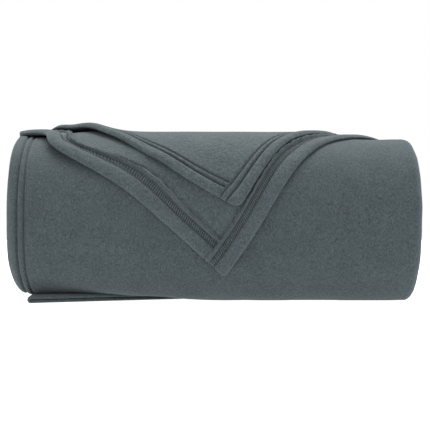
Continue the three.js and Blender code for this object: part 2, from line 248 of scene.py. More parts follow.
# ------------------------------------------------------------------------------------------
# Cloth built from a flat pattern


def spread(start, end, step, marks=()):
    """Values from start to end about a step apart, with finer ones round each mark.
    A mark is (place, half width, fine step)."""
    values = [start]
    while values[-1] < end - 1e-7:
        here = values[-1]
        size = step
        for mark, half, fine in marks:
            if mark - half - step <= here <= mark + half:
                size = min(size, fine)
        values.append(min(here + size, end))
    return np.array(values)


def flat_grid(us, vs):
    """A flat pattern with a vertex at each u and v."""
    bm = bmesh.new()
    rows = [[bm.verts.new((u, v, 0)) for u in us] for v in vs]
    for row, above in zip(rows, rows[1:]):
        for i in range(len(us) - 1):
            bm.faces.new((row[i], row[i + 1], above[i + 1], above[i]))
    return bm


def cut(bm, point, normal, clear=True):
    """Cuts the pattern along a line, and clears what is on the normal's side of it."""
    bmesh.ops.bisect_plane(
        bm, geom=bm.verts[:] + bm.edges[:] + bm.faces[:], dist=1e-7,
        plane_co=(*point, 0), plane_no=(*normal, 0), clear_outer=clear)


def link(name, mesh, material):
    """Puts a mesh in the scene as a named piece with one material."""
    mesh.materials.append(material)
    piece = bpy.data.objects.new(name, mesh)
    bpy.context.scene.collection.objects.link(piece)
    mesh.shade_smooth()
    return piece


def sew(name, bm, shape, material):
    """Turns a flat pattern into a closed sheet. shape(u, v) gives the points of its two sides."""
    bm.verts.index_update()
    flat = np.array([v.co for v in bm.verts])
    top, bottom = shape(flat[:, 0], flat[:, 1])
    count = len(flat)
    faces = []
    for face in bm.faces:
        ring = [v.index for v in face.verts]
        faces.append(ring)
        faces.append([i + count for i in reversed(ring)])
    for edge in bm.edges:
        if len(edge.link_faces) == 1:
            ring = [v.index for v in edge.link_faces[0].verts]
            a, b = (v.index for v in edge.verts)
            if ring[(ring.index(a) + 1) % len(ring)] != b:
                a, b = b, a
            faces.append([b, a, a + count, b + count])
    bm.free()
    mesh = bpy.data.meshes.new(name)
    mesh.from_pydata(np.concatenate([top, bottom]).tolist(), [], faces)
    mesh.update()
    fix = bmesh.new()
    fix.from_mesh(mesh)
    bmesh.ops.recalc_face_normals(fix, faces=fix.faces)
    fix.to_mesh(mesh)
    fix.free()
    return link(name, mesh, material)


# ------------------------------------------------------------------------------------------
# Materials


class Shader:
    """A node tree with short ways to add and join nodes."""

    def __init__(self, name):
        self.material = bpy.data.materials.new(name)
        self.material.use_nodes = True
        self.tree = self.material.node_tree
        self.bsdf = self.tree.nodes["Principled BSDF"]
        self.where = self.add("ShaderNodeTexCoord").outputs["Object"]

    def add(self, kind, **values):
        node = self.tree.nodes.new(kind)
        for key, value in values.items():
            if key in node.inputs:
                node.inputs[key].default_value = value
            else:
                setattr(node, key, value)
        return node

    def join(self, source, target):
        self.tree.links.new(source, target)

    def noise(self, scale, detail=2.0, roughness=0.5, stretch=None):
        node = self.add("ShaderNodeTexNoise", Scale=scale, Detail=detail, Roughness=roughness)
        where = self.where
        if stretch:
            mapping = self.add("ShaderNodeMapping", Scale=stretch)
            self.join(where, mapping.inputs["Vector"])
            where = mapping.outputs["Vector"]
        self.join(where, node.inputs["Vector"])
        return node.outputs["Fac"]

    def math(self, operation, a, b):
        node = self.add("ShaderNodeMath", operation=operation)
        for socket, value in zip(node.inputs, (a, b)):
            if isinstance(value, (int, float)):
                socket.default_value = value
            else:
                self.join(value, socket)
        return node.outputs[0]

    def ramp(self, value, low, high, dark, light):
        node = self.add("ShaderNodeMapRange")
        for key, number in zip(("From Min", "From Max", "To Min", "To Max"),
                               (low, high, dark, light)):
            node.inputs[key].default_value = number
        self.join(value, node.inputs["Value"])
        return node.outputs["Result"]


PATCHES, TUFTS, FIBRES, TWISTS = 55.0, 420.0, 760.0, 900.0     # to the metre
PILE_HEIGHT = 0.0016
TWIST_HEIGHT = 0.0002


def fleece(name, colour, mottle, pile, coarse):
    """Brushed fleece: a matt pile with patches where it lies differently, tufts and fibres.
    mottle is how much its shade varies, pile how high its tufts stand and coarse their size."""
    s = Shader(name)
    patches = s.noise(PATCHES / coarse, 4.0, 0.6)
    tufts = s.noise(TUFTS / coarse, 3.0, 0.75)
    fibres = s.noise(FIBRES, 2.0, 0.6, (1.0, 1.0, 0.7))
    shade = s.math("MULTIPLY", s.ramp(patches, 0.3, 0.7, 1 - mottle, 1 + mottle),
                   s.ramp(tufts, 0.25, 0.75, 1 - 2 * mottle, 1 + 2 * mottle))
    shade = s.math("MULTIPLY", shade, s.ramp(fibres, 0.3, 0.7, 0.62, 1.38))
    mix = s.add("ShaderNodeMix", data_type="RGBA", blend_type="MULTIPLY")
    mix.inputs["Factor"].default_value = 1.0
    mix.inputs["A"].default_value = (*colour, 1)
    grey = s.add("ShaderNodeCombineColor")
    for channel in ("Red", "Green", "Blue"):
        s.join(shade, grey.inputs[channel])
    s.join(grey.outputs["Color"], mix.inputs["B"])
    s.join(mix.outputs["Result"], s.bsdf.inputs["Base Color"])
    height = s.math("ADD", s.math("MULTIPLY", tufts, pile), s.math("MULTIPLY", fibres, 0.35))
    height = s.math("ADD", height, s.math("MULTIPLY", patches, 0.9 * pile))
    relief = s.add("ShaderNodeBump", Strength=0.85, Distance=PILE_HEIGHT)
    s.join(height, relief.inputs["Height"])
    s.join(relief.outputs["Normal"], s.bsdf.inputs["Normal"])
    s.bsdf.inputs["Roughness"].default_value = 0.97
    s.bsdf.inputs["Specular IOR Level"].default_value = 0.18
    s.bsdf.inputs["Sheen Weight"].default_value = 0.16
    s.bsdf.inputs["Sheen Roughness"].default_value = 0.55
    s.bsdf.inputs["Sheen Tint"].default_value = (0.80, 0.88, 0.92, 1)
    return s.material


def thread_material(name, dark, light):
    """Twisted thread, between two shades."""
    s = Shader(name)
    twist = s.add("ShaderNodeTexWave", Scale=TWISTS, Distortion=1.5)
    s.join(s.where, twist.inputs["Vector"])
    mix = s.add("ShaderNodeMix", data_type="RGBA")
    mix.inputs["A"].default_value = (*dark, 1)
    mix.inputs["B"].default_value = (*light, 1)
    s.join(twist.outputs["Fac"], mix.inputs["Factor"])
    s.join(mix.outputs["Result"], s.bsdf.inputs["Base Color"])
    relief = s.add("ShaderNodeBump", Strength=0.5, Distance=TWIST_HEIGHT)
    s.join(twist.outputs["Fac"], relief.inputs["Height"])
    s.join(relief.outputs["Normal"], s.bsdf.inputs["Normal"])
    s.bsdf.inputs["Roughness"].default_value = 0.6
    s.bsdf.inputs["Sheen Weight"].default_value = 0.15
    return s.material


FACE = fleece("fleece_face", (0.0445, 0.0575, 0.0615), 0.08, 0.8, 1.0)
REVERSE = fleece("fleece_reverse", (0.050, 0.064, 0.068), 0.09, 0.85, 1.1)
LOOSE = fleece("fleece_loose_pile", (0.049, 0.063, 0.067), 0.13, 1.1, 1.4)
INNER = fleece("fleece_inside", (0.045, 0.059, 0.063), 0.08, 0.8, 1.1)
THREAD = thread_material("looper_thread", (0.050, 0.063, 0.068), (0.082, 0.102, 0.109))
# The needle thread is coloured far darker than the cloth: painted shade of the grooves its stitches
# sink into.
NEEDLE_THREAD_GROOVE_SHADE = thread_material("needle_thread", (0.012, 0.016, 0.018), (0.024, 0.030, 0.033))

# ------------------------------------------------------------------------------------------
# Hems

ROW_1 = HEM_EDGE
ROW_2 = HEM_EDGE + NEEDLE_GAUGE
HEM_MARKS = [
    (0.0, 0.0035, 0.0005),
    (ROW_1, 0.0022, 0.0006),
    (ROW_2, 0.0022, 0.0006),
    (HEM_DEPTH + 0.001, 0.0025, 0.0006),
]
HEM_ROUND = 0.0034               # how far in from its edge the turned hem reaches full thickness
FACE_FULLNESS, BACK_FULLNESS = 0.0014, 0.0013
GROOVE_1, GROOVE_2, GROOVE_WIDTH = 0.0026, 0.0022, 0.0010
CHANNEL_RISE = 0.0003
PRESSED_BAND = 0.0021
RAW_RIDGE, RAW_FALL = 0.0023, 0.0012


def rounding(distance):
    """How full the cloth's thickness is at a distance from a turned edge: a half round."""
    inside = np.clip(distance / HEM_ROUND, 0, 1)
    return np.sqrt(np.clip(1 - (1 - inside) ** 2, 0.01, 1))


def face_hem(distance):
    """Extra height of the hem's face side: a full edge, and a groove under each stitch row."""
    full = FACE_FULLNESS * smooth(distance, 0, 0.004) * (1 - smooth(distance, 0.0085, ROW_1))
    channel = CHANNEL_RISE * bump(distance, (ROW_1 + ROW_2) / 2, 0.0022)
    first = GROOVE_1 * bump(distance, ROW_1, GROOVE_WIDTH)
    second = GROOVE_2 * bump(distance, ROW_2, GROOVE_WIDTH)
    return full + channel - (first + second)


def back_hem(distance, along):
    """The hem's back: a full edge, a pressed band under the looper thread, a raw edge's ridge."""
    full = BACK_FULLNESS * smooth(distance, 0, 0.004) * (1 - smooth(distance, 0.0090, ROW_1))
    pressed = PRESSED_BAND * smooth(distance, ROW_1 - 0.001, ROW_1 + 0.0008)
    pressed = pressed * (1 - smooth(distance, ROW_2 - 0.0006, ROW_2 + 0.0014))
    # The raw edge wanders a little, and its height varies.
    wander = 0.0005 * np.sin(along * 2 * math.pi / 0.017) + 0.0003 * np.sin(along * 900)
    height = RAW_RIDGE + 0.0004 * np.sin(along * 620)
    ridge = height * bump(distance, HEM_DEPTH + wander, 0.0010)
    fall = RAW_FALL * bump(distance, HEM_DEPTH + 0.0024 + wander, 0.0012)
    return full - pressed + ridge - fall


# ------------------------------------------------------------------------------------------
# The rolled strip


EDGE_BEND = 0.015                # radius with which the outer hem bends in over the roll's end
BENT = 0.017                     # how much of the hem bends
HEM_OUT = 0.0016                 # the hem's soft edge stands out past the roll's end
BENT_EDGE = LEFT - HEM_OUT + EDGE_BEND * math.sin(BENT / EDGE_BEND) - BENT
LONG_WAVES, SHORT_WAVES = 0.0007, 0.0003
UNBENT_OVER_TOP = 0.85           # how much less the hem bends over the top than at the front


def face_ply_shape(u, v):
    """The outer ply, u across and v along. Past the right fold it turns in round the others, and
    its left hem bends in over the end of the roll."""
    middle = -(3 * LAYER + PLY) / 2
    past = np.maximum(u - RIGHT_FOLD_X, 0)
    turn = np.minimum(past / WIDE_RADIUS, math.pi)
    from_edge = u - BENT_EDGE
    # It bends in fully at the front, and hardly at all over the top.
    phase = (angle_at(v) + 180) % 360 - 180
    slack = 1 - UNBENT_OVER_TOP * smooth(phase, 8, 55)
    bend = slack * np.maximum(BENT - from_edge, 0) / EDGE_BEND
    full = rounding(from_edge)
    puff = face_hem(from_edge) * smooth(from_edge, 0, 0.002)
    waves = LONG_WAVES * ripple(u, v, 0.09, 3) + SHORT_WAVES * ripple(u, v, 0.03, 4)
    waves = waves * smooth(from_edge, 0.0, 0.04)
    flat_share = (BENT_EDGE + BENT - LEFT + HEM_OUT) / BENT
    flat_bend = np.maximum(BENT - from_edge, 0) * flat_share
    sides = []
    for half, extra in ((PLY / 2, puff), (-PLY / 2, 0)):
        out = half * full + extra + waves
        radius = WIDE_RADIUS + out
        x = np.clip(u, BENT_EDGE + BENT, RIGHT_FOLD_X) + radius * np.sin(turn)
        lift = middle + radius * np.cos(turn)
        x = x - slack * EDGE_BEND * np.sin(bend / slack) - (1 - slack) * flat_bend
        x = x - out * np.sin(bend)
        lift = lift - (EDGE_BEND + out) * (1 - np.cos(bend))
        sides.append(place(x, v, lift))
    return sides


def build_face_ply():
    start = run_at(OUTER_START)
    end = -(PEEL_START + (RIGHT_FOLD_X - LEFT) * math.tan(PEEL_SLANT))
    width = RIGHT_FOLD_X + math.pi * WIDE_RADIUS
    marks = [(BENT_EDGE + mark, half, fine) for mark, half, fine in HEM_MARKS]
    us = spread(BENT_EDGE, width, FINE, marks + [(width, 0.024, 0.0015)])
    vs = spread(end, start, FINE)
    bm = flat_grid(us, vs)
    peel_cut(bm, PEEL_START, PEEL_SLANT)
    piece = sew("face_ply_cloth", bm, face_ply_shape, FACE)
    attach(piece, "roll")
    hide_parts("face_ply", "face_hem_edge", "face_hem_channel", "right_outer_fold")


def peel_line(start, slant):
    """A point of the peel's fold line in the flat cloth, and the direction past it."""
    return (LEFT, -start), (-math.sin(slant), -math.cos(slant))


def peel_cut(bm, start, slant):
    """Clears the cloth that is past the peel's fold line."""
    point, past = peel_line(start, slant)
    cut(bm, point, past)


SECOND_INSET = 0.008             # the second ply's hem stands back under the outer one


def second_ply_shape(u, v):
    """The second ply, which lies flat under the outer one and turns in tightly at the right."""
    middle = -(3 * LAYER + PLY) / 2
    past = np.maximum(u - RIGHT_FOLD_X, 0)
    turn = np.minimum(past / TIGHT_RADIUS, math.pi)
    full = rounding(u - LEFT - SECOND_INSET)
    sides = []
    for half in (PLY / 2, -PLY / 2):
        radius = TIGHT_RADIUS + half * full
        x = np.minimum(u, RIGHT_FOLD_X) + radius * np.sin(turn)
        lift = middle + radius * np.cos(turn)
        sides.append(place(x, v, lift))
    return sides


def build_second_ply():
    start = run_at(OUTER_START)
    end = -(UPPER_PEEL_START + (RIGHT_FOLD_X - LEFT) * math.tan(UPPER_PEEL_SLANT))
    width = RIGHT_FOLD_X + math.pi * TIGHT_RADIUS
    left = LEFT + SECOND_INSET
    us = spread(left, width, 2 * COARSE, [(left, 0.004, 0.0006), (width, 0.008, 0.001)])
    vs = spread(end, start, COARSE)
    bm = flat_grid(us, vs)
    peel_cut(bm, UPPER_PEEL_START, UPPER_PEEL_SLANT)
    piece = sew("second_ply_cloth", bm, second_ply_shape, INNER)
    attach(piece, "roll")
    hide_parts("second_ply", "second_ply_hem", "right_inner_fold")


# The third and fourth plies are one piece: u runs from the third ply's right edge to the left
# fold, round it, and back along the fourth ply.
WRAP_TURN = math.pi * TIGHT_RADIUS
TAIL_HEM_SHARE = 0.0005 / 0.0014     # the tail's pressed hem against the height of a free one
PLY_WAVES = 0.0005


def wrapped_shape(u, v):
    """The third and fourth plies: after the last turn they run forward as the tail."""
    middle = -(5 * LAYER + PLY) / 2
    over = np.clip(u / TIGHT_RADIUS, 0, math.pi)
    before = np.maximum(-u, 0)
    after = np.maximum(u - WRAP_TURN, 0)
    from_end = v - tail_end_run(LEFT_FOLD_X + before + after)
    full = rounding(from_end)
    waves = PLY_WAVES * ripple(before, v, 0.08, 8) * (u < 0) * smooth(before, 0.0, 0.03)
    waves = waves * (1 - smooth(-v, -UNDER_RUN - 0.06, -UNDER_RUN))
    hem = TAIL_HEM_SHARE * face_hem(from_end) * (u < 0)
    sides = []
    for half, extra in ((PLY / 2, hem), (-PLY / 2, np.zeros_like(hem))):
        radius = TIGHT_RADIUS + half * full
        x = LEFT_FOLD_X + before + after - radius * np.sin(over)
        lift = middle + radius * np.cos(over) + waves
        sides.append(place(x, v, lift + extra * (v > UNDER_RUN)))
    return sides


def tail_end_run(x):
    """The run at which the tail's slanting end lies."""
    return TAIL_RUN + np.maximum(x - LEFT_FOLD_X, 0) * TAIL_SLOPE


def build_wrapped_plies():
    start = run_at(OUTER_START)
    length = RIGHT_FOLD_X - LEFT_FOLD_X
    # The tail's slanted end is built into the pattern: each column is as long as its cloth.
    us = np.concatenate([
        -spread(0, length, FINE * 1.6, [(0, 0.012, 0.0016)])[::-1],
        spread(0, WRAP_TURN, 0.0009)[1:],
        WRAP_TURN + spread(0, length, COARSE, [(0, 0.012, 0.0016)])[1:],
    ])
    shares = spread(0, 1, FINE * 1.6 / 0.55, [(0, 0.006, 0.0012)])
    bm = bmesh.new()
    rows = []
    for share in shares:
        row = []
        for u in us:
            inward = max(-u, 0) + max(u - WRAP_TURN, 0)
            end = float(tail_end_run(LEFT_FOLD_X + inward))
            row.append(bm.verts.new((u, end + share * (start - end), 0)))
        rows.append(row)
    for row, above in zip(rows, rows[1:]):
        for i in range(len(us) - 1):
            bm.faces.new((row[i], row[i + 1], above[i + 1], above[i]))
    piece = sew("wrapped_plies_cloth", bm, wrapped_shape, REVERSE)
    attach(piece, "roll")
    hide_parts("third_ply", "fourth_ply", "left_fold", "tail_bottom_hem", "tail_top_hem")
    long_side = cloth_length(TAIL_RUN, start, -(5 * LAYER + PLY) / 2)


def strip_outline():
    """The folded strip cut across: the middle line of its four plies and the direction across
    each, from the outer ply's left hem to the second ply's."""
    middle = -(3 * LAYER + PLY) / 2
    inner_middle = -(5 * LAYER + PLY) / 2
    left, right = LEFT + 0.003, RIGHT_FOLD_X
    half_turn = np.linspace(-90, 90, 9)
    line = []

    def straight(x0, x1, lift, up):
        for part in (0.0, 0.012, 0.03, 0.2, 0.5, 0.8, 0.97, 0.988, 1.0):
            line.append((x0 + (x1 - x0) * part, lift, 0.0, up))

    def fold(x, lift, radius, side, top_first):
        for turn in np.radians(half_turn[1:-1]):
            up = -math.sin(turn) if top_first else math.sin(turn)
            out = side * math.cos(turn)
            line.append((x + radius * out, lift + radius * up, out, up))

    straight(left, right, -PLY / 2, 1)
    fold(right, middle, WIDE_RADIUS, 1, True)
    straight(right, LEFT_FOLD_X, -3 * LAYER - PLY / 2, -1)
    # Round the left fold the same side of the cloth is the inside one.
    for turn in np.radians(half_turn[1:-1]):
        line.append((LEFT_FOLD_X - TIGHT_RADIUS * math.cos(turn),
                     inner_middle + TIGHT_RADIUS * math.sin(turn),
                     math.cos(turn), -math.sin(turn)))
    straight(LEFT_FOLD_X, right, -2 * LAYER - PLY / 2, -1)
    for turn in np.radians(half_turn[1:-1]):
        line.append((right + TIGHT_RADIUS * math.cos(turn),
                     middle + TIGHT_RADIUS * math.sin(turn),
                     -math.cos(turn), -math.sin(turn)))
    straight(right, left, -LAYER - PLY / 2, -1)
    return np.array(line)


TURN_WANDER = 0.004


def build_inner_turns():
    line = strip_outline()
    angles = np.arange(-360 * WOUND_TURNS + 4, OUTER_START + 0.1, 5.0)
    runs = np.interp(angles, ANGLES, RUNS)
    half = np.full(len(line), PLY / 2)
    half[0] = half[-1] = PLY / 6
    outer = line[:, :2] + line[:, 2:] * half[:, None]
    inner = line[:, :2] - line[:, 2:] * half[:, None]
    outline = np.concatenate([outer, inner[::-1]])
    size = len(outline)
    # Each turn is a little longer or shorter than its neighbours.
    points = np.concatenate([
        place(outline[:, 0] * (1 - TURN_WANDER * math.sin(i * 0.7)), run, outline[:, 1])
        for i, run in enumerate(runs)])
    faces = []
    for i in range(len(runs) - 1):
        for j in range(size):
            k = (j + 1) % size
            a, b = i * size, (i + 1) * size
            faces.append((a + j, a + k, b + k, b + j))
    count = len(line)
    for base, flip in ((0, 1), ((len(runs) - 1) * size, -1)):
        for j in range(count - 1):
            quad = (base + j, base + 2 * count - 1 - j, base + 2 * count - 2 - j, base + j + 1)
            faces.append(quad[::flip])
    mesh = bpy.data.meshes.new("inner_turns_cloth")
    mesh.from_pydata(points.tolist(), [], faces)
    fix = bmesh.new()
    fix.from_mesh(mesh)
    bmesh.ops.recalc_face_normals(fix, faces=fix.faces)
    fix.to_mesh(mesh)
    fix.free()
    piece = link("inner_turns_cloth", mesh, INNER)
    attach(piece, "roll")
    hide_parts("third_turn", "second_turn", "core_turn")
    wound = cloth_length(runs[-1], runs[0], -(3 * LAYER + PLY) / 2)


# ------------------------------------------------------------------------------------------
# The turned-back corner


class Flap:
    """One ply of the corner, laid flat: p runs from the tip along the side hem, and q from the
    tip along the end hem."""

    def __init__(self, name, peel_start, peel_slant, fold_radius, base):
        size = FLAPS[name]
        self.base = base
        self.radius = fold_radius
        self.tip = np.array([size["tip"], size["drop"]])
        side = np.array([size["left"], 0.0]) - self.tip
        end = np.array([size["right"], 0.0]) - self.tip
        self.side = side / np.hypot(*side)
        self.end = end / np.hypot(*end)
        self.square = abs(float(self.side[0] * self.end[1] - self.side[1] * self.end[0]))
        self.size = size
        point, past = peel_line(peel_start, peel_slant)
        self.peel_point, self.past = np.array(point), np.array(past)

    def flat(self, p, q):
        """The x and run of a point of the flap."""
        p, q = np.broadcast_arrays(np.asarray(p, float), np.asarray(q, float))
        point = self.tip + p[..., None] * self.side + q[..., None] * self.end
        return point[..., 0], point[..., 1]

    def hem_distances(self, x, run):
        """Distances from the side hem's edge and from the end hem's edge, and both lengths."""
        gap = np.stack([x, run], -1) - self.tip
        matrix = np.linalg.inv(np.stack([self.side, self.end], 1))
        p, q = np.moveaxis(gap @ matrix.T, -1, 0)
        return q * self.square, p * self.square, p, q

    def rounded_corner(self, p, q):
        """Draws the square corner at the tip in to a round one."""
        size = self.size["corner"] / self.square
        a, b = np.clip(1 - p / size, 0, 1), np.clip(1 - q / size, 0, 1)
        return (np.where(p < size, size * (1 - a * np.sqrt(1 - b * b / 2)), p),
                np.where(q < size, size * (1 - b * np.sqrt(1 - a * a / 2)), q))

    def edge(self, which, run):
        """Where an edge lies at a run, and how much wider a band is across than square to it."""
        start, (depth, near, far) = self.size[which], self.size[which + "_bow"]
        share = run / self.tip[1]
        inside = np.clip(share, 0, 1)
        fullest = near / (near + far)
        most = fullest ** near * (1 - fullest) ** far
        bow = depth * inside ** near * (1 - inside) ** far / most
        slope = depth * (near * inside ** (near - 1) * (1 - inside) ** far
                         - far * inside ** near * (1 - inside) ** (far - 1)) / most
        straight = self.tip[0] - start
        lean = np.hypot(1, (straight - slope) / self.tip[1])
        return start + straight * share - bow, lean

    def bowed(self, run, side, end):
        """Moves the straight pattern across so that both its edges bow."""
        left, left_lean = self.edge("left", run)
        right, right_lean = self.edge("right", run)
        share = smooth(side / np.maximum(side + end, 1e-6), 0.15, 0.85)
        return (left + side * left_lean) * (1 - share) + (right - end * right_lean) * share

    def pattern(self):
        """The flap laid flat, from its tip to where it has turned over at the peel's fold."""
        wrap = math.pi * self.radius
        reach = 0.47             # beyond the far end of either hem
        share = self.size["hem"] / self.square
        marks = [(mark * share, half, fine) for mark, half, fine in HEM_MARKS]
        grid = spread(0, reach, FINE, marks)
        bm = flat_grid(grid, grid)
        for vert in bm.verts:
            x, run = self.flat(*self.rounded_corner(vert.co.x, vert.co.y))
            vert.co = (float(x), float(run), 0)
        cut(bm, tuple(self.peel_point + self.past * wrap), tuple(self.past))
        cut(bm, (RIGHT_FOLD_X + 0.004, 0), (1, 0))
        cut(bm, (LEFT - 0.002, 0), (-1, 0))
        for step in np.linspace(0, wrap, 8)[:-1]:
            cut(bm, tuple(self.peel_point + self.past * step), tuple(self.past), clear=False)
        return bm

    def shape(self, x, run, raised=0.0):
        """The two sides of the flap, each a set of points; raised lifts both off the roll."""
        side, end, p, q = self.hem_distances(x, run)
        corner = self.size["corner"]
        from_side, from_end = np.maximum(corner - side, 0), np.maximum(corner - end, 0)
        full = rounding(np.where((from_side > 0) & (from_end > 0),
                                 corner - np.hypot(from_side, from_end),
                                 np.minimum(side, end)))
        hem = self.size["hem"]
        puff, loose = self.relief(side / hem, end / hem, p, q, x, run)
        past = (np.stack([x, run], -1) - self.peel_point) @ self.past
        x = np.where(run > -0.002, self.bowed(run, side, end), x)
        turn = np.clip(past / self.radius, 0, math.pi)
        back = np.maximum(past, 0)
        points = []
        for half, share in ((1, 1), (-1, 0)):
            lift = self.base + PLY / 2 + half * PLY / 2 * full + puff * share + loose + raised
            radius = lift - GAP / 2
            out = radius * np.sin(turn) - back
            points.append(place(x + self.past[0] * out, run + self.past[1] * out,
                                GAP / 2 + radius * np.cos(turn), hangs=True))
        return points


CORNER_FULLNESS = 0.0012         # where the side hem passes under the end hem at the tip
EDGE_CURL = 0.0012
FLAP_WAVES = 0.0006
RIDGE_ROUND = 0.0010             # the lower flap's side hem at the ridge
STAND_OFF = 0.0062
RIDE_UP = 0.0042                 # the upper flap over the lower one's side hem
LEFT_END_DROP = 0.0062


class LowerFlap(Flap):
    """The face ply's corner, which shows its back."""

    def relief(self, side, end, p, q, x, run):
        """How thick its shown side stands, and how far the whole cloth stands off the roll."""
        in_end = 1 - smooth(end, HEM_DEPTH + 0.001, HEM_DEPTH + 0.003)
        puff = back_hem(end, q) * (end < 0.03) + back_hem(side, p) * (1 - in_end)
        puff = puff + CORNER_FULLNESS * in_end * (1 - smooth(side, 0.006, HEM_DEPTH))
        edge = 1 - smooth(np.minimum(side, end), 0.0, 0.03)
        hanging = smooth(run, 0.02, 0.10)
        loose = EDGE_CURL * edge * hanging * (1 + ripple(p, q, 0.07, 21))
        loose = loose + FLAP_WAVES * ripple(x, run, 0.06, 22) * smooth(run, -0.02, 0.05)
        # Its side hem is a fat round where it comes over the ridge, and stands off the roll.
        puff = puff + RIDGE_ROUND * bump(side, 0.006, 0.006) * bump(run, 0.004, 0.020)
        loose = loose + STAND_OFF * bump(side, 0.004, 0.020) * bump(run, 0.038, 0.030)
        behind = smooth(-run, 0.0, 0.03)
        return puff * (1 - 0.5 * behind), loose * (1 - behind)


class UpperFlap(Flap):
    """The second ply's corner, which shows its face."""

    def relief(self, side, end, p, q, x, run):
        """How thick its shown side stands, and how far the whole cloth stands off the roll."""
        in_end = 1 - smooth(end, HEM_DEPTH - 0.001, HEM_DEPTH + 0.001)
        puff = face_hem(end) * (end < 0.03) + face_hem(side) * (1 - in_end)
        puff = puff + CORNER_FULLNESS * in_end * (1 - smooth(side, 0.006, HEM_DEPTH))
        edge = 1 - smooth(np.minimum(side, end), 0.0, 0.03)
        hanging = smooth(run, 0.02, 0.08)
        loose = EDGE_CURL * edge * hanging * (1 + ripple(p, q, 0.06, 31))
        loose = loose + FLAP_WAVES * ripple(x, run, 0.05, 32) * smooth(run, -0.02, 0.04)
        # It rides up where it crosses the lower flap's side hem, and curls up a little there.
        over_hem = bump(side, 0.004, 0.020) * bump(run, 0.012, 0.034)
        loose = loose + RIDE_UP * over_hem
        # Behind the ridge its left end drops into the fold of the ply below.
        sunk = LEFT_END_DROP * (1 - smooth(x - LEFT, 0.026, 0.052)) * smooth(-run, 0.006, 0.022)
        behind = smooth(-run, 0.03, 0.08)
        return puff * (1 - 0.3 * behind), loose * (1 - behind) - sunk


def pattern_area(bm):
    return sum(face.calc_area() for face in bm.faces)


# A distance in front of the hinge line for each flap; the point it gives is worked out but not
# used.
LOWER_BEND, UPPER_BEND = 0.035, 0.015
LOWER = LowerFlap("lower", PEEL_START, PEEL_SLANT, TIGHT_RADIUS, GAP)
UPPER = UpperFlap("upper", UPPER_PEEL_START, UPPER_PEEL_SLANT, WIDE_RADIUS, GAP + LAYER)


def ahead(distance):
    """A point in front of the hinge."""
    return (0.0, RIDGE_Y - distance, RIDGE_Z)


def nodes_of(prefix):
    """A flap's CAD nodes, without its rows of stitches."""
    return [n for n in sorted(frame["nodes"]) if n.startswith(prefix) and "stitch_row" not in n]


def build_lower_flap():
    bm = LOWER.pattern()
    area = pattern_area(bm)
    piece = sew("lower_flap_sheet", bm, LOWER.shape, REVERSE)
    ahead(LOWER_BEND)
    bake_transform(piece)
    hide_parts(*nodes_of("lower_flap"))


def build_upper_flap():
    rear_nodes = ["upper_flap_rear", "upper_flap_back_fold"]
    front_nodes = [n for n in nodes_of("upper_flap") if n not in rear_nodes]
    for name, clear_normal, nodes in (("upper_flap_rear_sheet", (0, 1), rear_nodes),
                                      ("upper_flap_sheet", (0, -1), front_nodes)):
        bm = UPPER.pattern()
        cut(bm, (0, 0), clear_normal)
        area = pattern_area(bm)
        piece = sew(name, bm, UPPER.shape, LOOSE)
        if name == "upper_flap_sheet":
            ahead(UPPER_BEND)
            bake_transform(piece)
        else:
            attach(piece, "roll")
        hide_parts(*nodes)


# ------------------------------------------------------------------------------------------
# Stitches

THREAD_RADIUS = 0.00042
THREAD_END = 0.35                # how thick a stitch is where it goes into the cloth
STITCH_PITCH = 0.0031
STITCH_SHARE = 0.78              # how much of the pitch the stitch takes
LADDER_PITCH = 0.0023
THREAD_SIDES = 6
STITCH_ARCH = np.array([0, 1, 1, 1, 0])
LADDER_RISE = np.array([0.0, 0.0007, 0.0010, 0.0010, 0.0007, 0.0])
SIDE_START = 0.024               # the side hem's rows start this far from the tip
BEHIND = -0.030                  # the run at which the end hem's rows stop behind the ridge


def tubes(name, paths, material=None):
    """Short round threads along paths, each an array of points, joined in one mesh."""
    points, faces = [], []
    sides = THREAD_SIDES
    for path in paths:
        path = np.asarray(path)
        along = np.gradient(path, axis=0)
        along /= np.linalg.norm(along, axis=1, keepdims=True)
        across = np.cross(along, (0.3, 0.5, 0.81))
        across /= np.linalg.norm(across, axis=1, keepdims=True)
        other = np.cross(along, across)
        base = len(points)
        for i, centre in enumerate(path):
            size = THREAD_RADIUS * (THREAD_END if i in (0, len(path) - 1) else 1.0)
            for k in range(sides):
                turn = 2 * math.pi * k / sides
                points.append(centre + size * (math.cos(turn) * across[i]
                                               + math.sin(turn) * other[i]))
        for i in range(len(path) - 1):
            for k in range(sides):
                a, b = base + i * sides + k, base + i * sides + (k + 1) % sides
                faces.append((a, b, b + sides, a + sides))
        last = base + (len(path) - 1) * sides
        faces.append(tuple(base + k for k in reversed(range(sides))))
        faces.append(tuple(last + k for k in range(sides)))
    mesh = bpy.data.meshes.new(name)
    mesh.from_pydata([tuple(p) for p in points], [], faces)
    return link(name, mesh, material or NEEDLE_THREAD_GROOVE_SHADE)


def row_of_stitches(start, end, at, pitch=STITCH_PITCH, share=STITCH_SHARE):
    """Stitches from start to end; at(values, arch) gives their points on the cloth."""
    count = max(int((end - start) / pitch), 1)
    paths = []
    for i in range(count):
        first = start + i * pitch
        paths.append(at(np.linspace(first, first + pitch * share, len(STITCH_ARCH)), STITCH_ARCH))
    return paths


def build_face_stitches():
    start, end = run_at(OUTER_START) - 0.002, -PEEL_START + 0.004
    paths = []
    for row in (ROW_1, ROW_2):
        def at(runs, arch, row=row):
            top, _ = face_ply_shape(np.full_like(runs, BENT_EDGE + row), runs)
            return top + outward(top) * (0.0001 + 0.00025 * arch[:, None])
        paths += row_of_stitches(end, start, at)
    piece = tubes("face_hem_stitches", paths)
    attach(piece, "roll")
    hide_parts("face_stitch_row_1", "face_stitch_row_2")


def outward(points):
    """The direction out of the roll at points on it, square to its axis."""
    out = points - np.array([0, RIDGE_Y, CENTRE_HEIGHT])
    out[..., 0] = 0
    return out / np.linalg.norm(out, axis=-1, keepdims=True)


